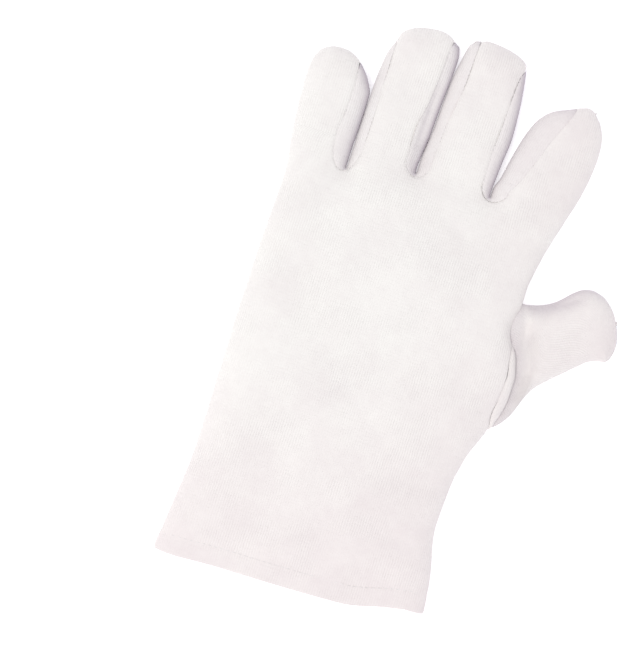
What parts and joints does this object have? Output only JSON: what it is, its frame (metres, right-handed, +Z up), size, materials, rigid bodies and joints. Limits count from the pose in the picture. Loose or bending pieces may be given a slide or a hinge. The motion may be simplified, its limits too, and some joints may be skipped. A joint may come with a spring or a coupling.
{
  "type": "cotton work glove",
  "caption": "White knitted cotton work glove for the left hand, lying on its palm, with side strips between the fingers, a set-in thumb and a hemmed open cuff.",
  "frame": {"origin": "under the middle of the whole glove, on the surface it lies on", "axes": "+X towards the thumb side, +Y from the hem to the fingertips, +Z up through the back of the glove"},
  "size_m": [0.1624, 0.2492, 0.017],
  "materials": {
    "white_jersey": "white knitted cotton, matt and slightly fuzzy",
    "white_side_strip": "the same white knitted cotton, in the strips between the fingers",
    "white_hem": "the same white knitted cotton, turned in at the cuff"
  },
  "bodies": {
    "root": {"back_panel": "white_jersey", "palm_panel": "white_jersey", "fourchette_little_ring": "white_side_strip", "fourchette_ring_middle": "white_side_strip", "fourchette_middle_index": "white_side_strip", "thumb": "white_jersey", "cuff_hem": "white_hem"}
  },
  "joints": []
}
